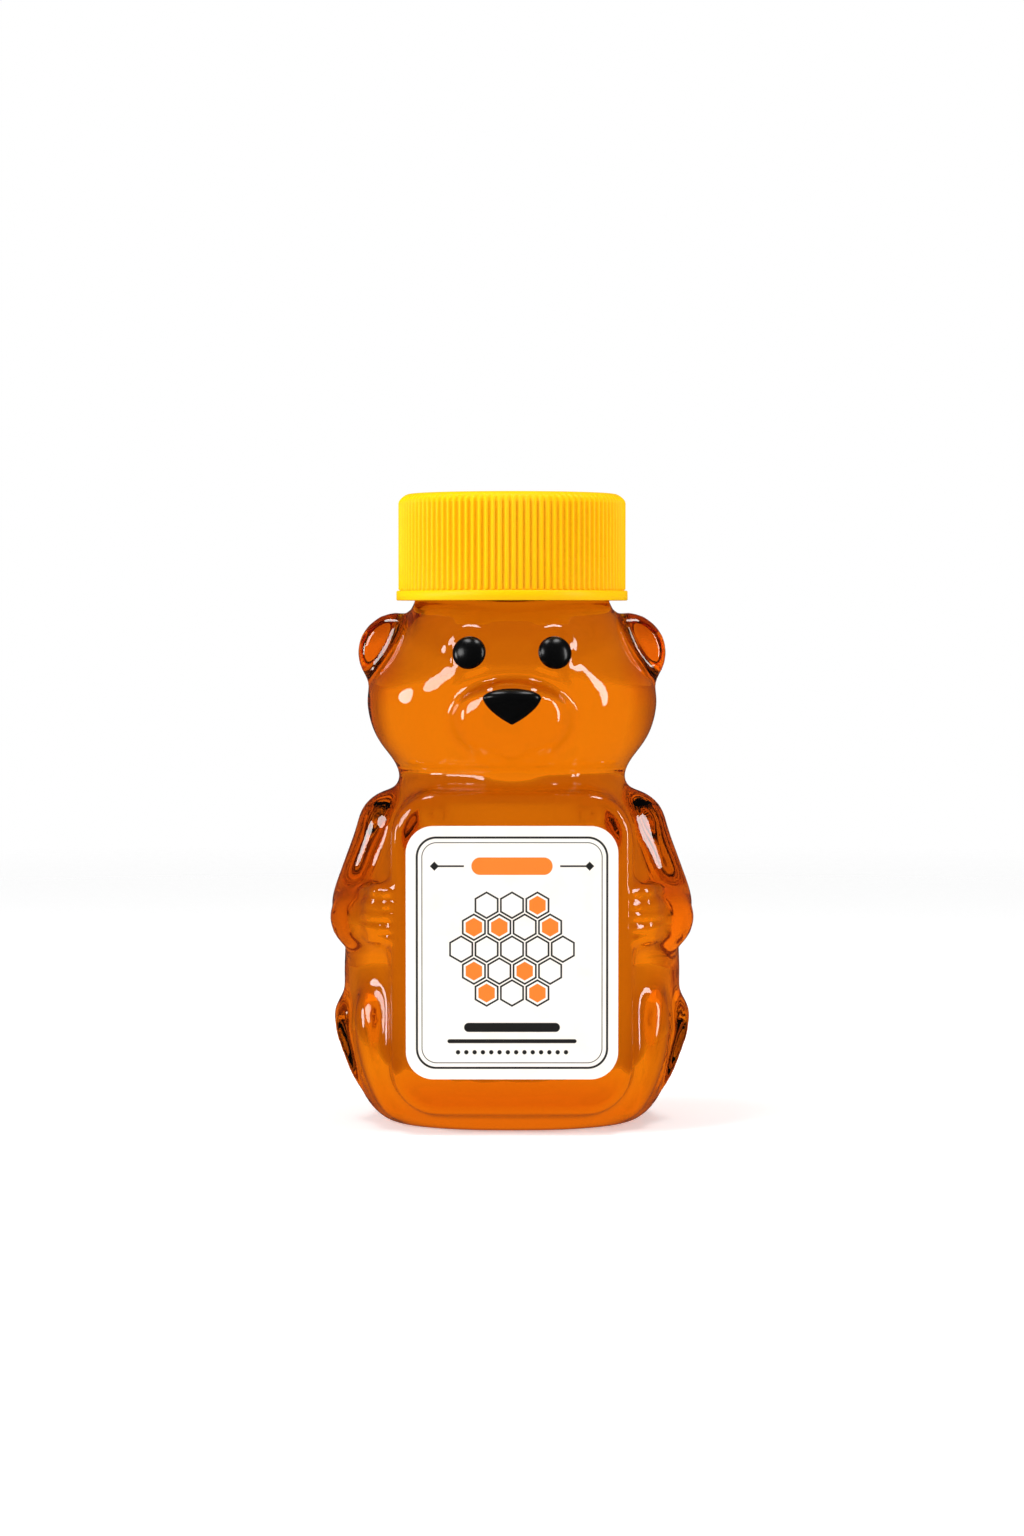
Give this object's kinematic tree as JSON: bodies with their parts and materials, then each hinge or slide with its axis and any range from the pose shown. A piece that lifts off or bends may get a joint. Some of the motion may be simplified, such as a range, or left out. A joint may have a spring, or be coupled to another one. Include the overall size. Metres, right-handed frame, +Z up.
{
  "type": "honey bear bottle",
  "caption": "Small blown plastic bottle shaped like a sitting bear, filled with honey, with a ribbed screw cap, a front label panel, and black eyes and nose.",
  "frame": {"origin": "middle of the standing ring, on the table, under the axis of the neck", "axes": "+Z up along the axis of the neck, the bear looks along -Y, and its own left side is +X"},
  "size_m": [0.0408, 0.033, 0.07],
  "materials": {
    "clear_plastic": "gloss",
    "honey": "gloss",
    "cap_plastic": "satin",
    "liner_board": "matte",
    "label_paper": "matte",
    "face_plastic": "gloss"
  },
  "bodies": {
    "bottle": {"bottle_shell": "clear_plastic", "honey_fill": "honey", "front_label": "label_paper", "left_eye": "face_plastic", "right_eye": "face_plastic", "nose": "face_plastic"},
    "liner": {"cap_liner": "liner_board"},
    "cap": {"screw_cap": "cap_plastic"}
  },
  "joints": [
    {"name": "cap_rise", "type": "slide", "parent": "bottle", "child": "liner", "axis": [0, 0, 1], "range_m": [0, 0.0128]},
    {"name": "cap_turn", "type": "hinge", "parent": "liner", "child": "cap", "pos_m": [0, 0, 0.064], "axis": [0, 0, 1], "range_deg": [0, 1440]}
  ],
  "couplings": [
    {"joint": "cap_rise", "follows": "cap_turn", "m_per_rad": 0.00050532}
  ]
}
